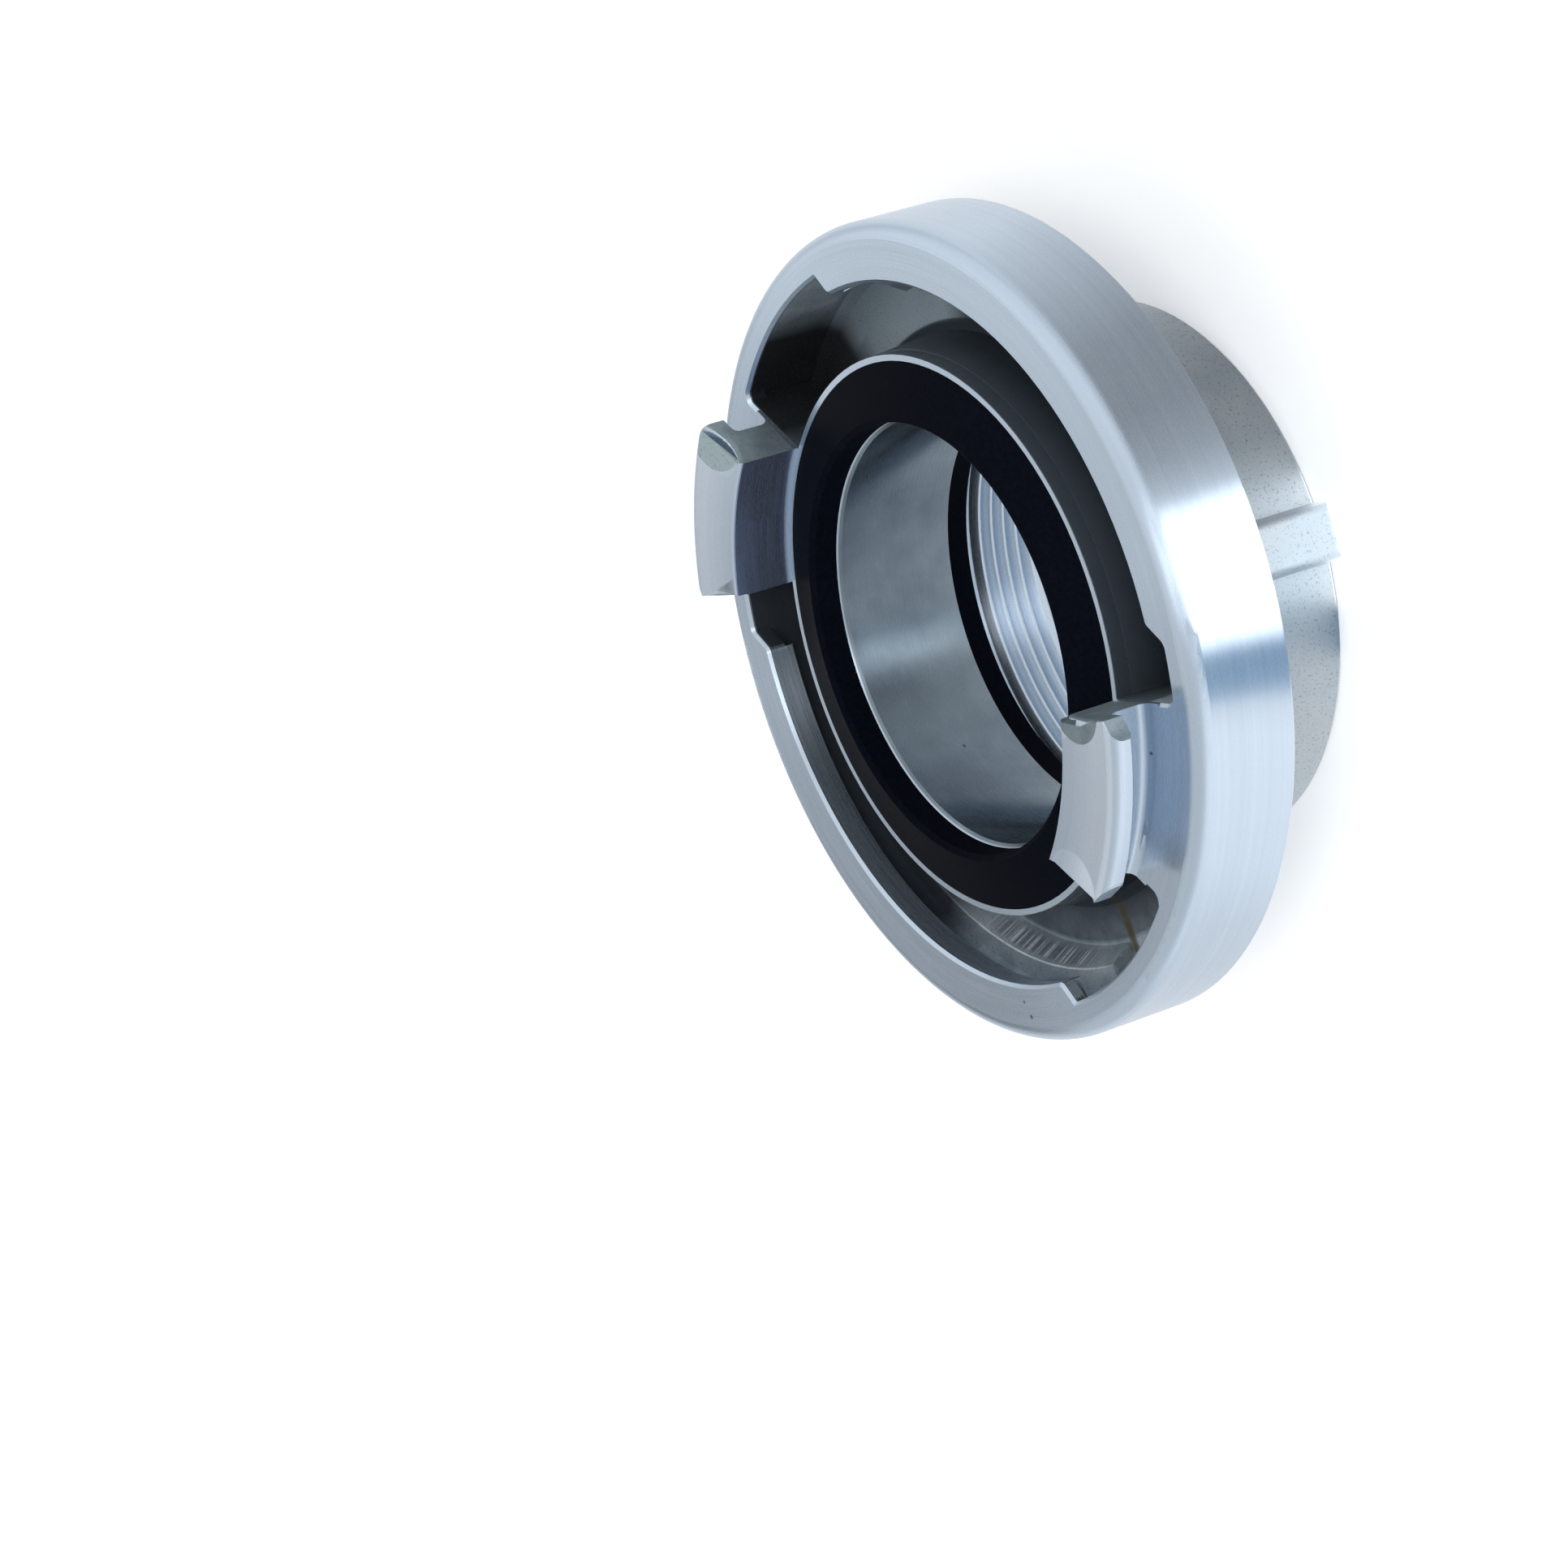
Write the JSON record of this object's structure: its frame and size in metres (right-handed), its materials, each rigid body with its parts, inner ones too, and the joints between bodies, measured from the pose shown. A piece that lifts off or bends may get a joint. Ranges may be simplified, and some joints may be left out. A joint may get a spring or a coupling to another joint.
{
  "type": "quarter turn hose coupling",
  "caption": "Symmetrical quarter turn fire hose coupling in forged aluminium, with hooked claws, an undercut locking ring, a rubber face seal and a threaded female tail.",
  "frame": {"origin": "centre of the threaded tail's end face, on the coupling's axis", "axes": "+Z along the axis towards the coupling face and its hooks, +X through the middle of one hook"},
  "size_m": [0.1296, 0.1296, 0.0535],
  "materials": {
    "coupling_body": "turned and forged, bare",
    "face_seal": "smooth black",
    "thread_gasket": "matt black"
  },
  "bodies": {
    "root": {"coupling_body": "coupling_body", "face_seal": "face_seal", "thread_gasket": "thread_gasket"}
  },
  "joints": []
}
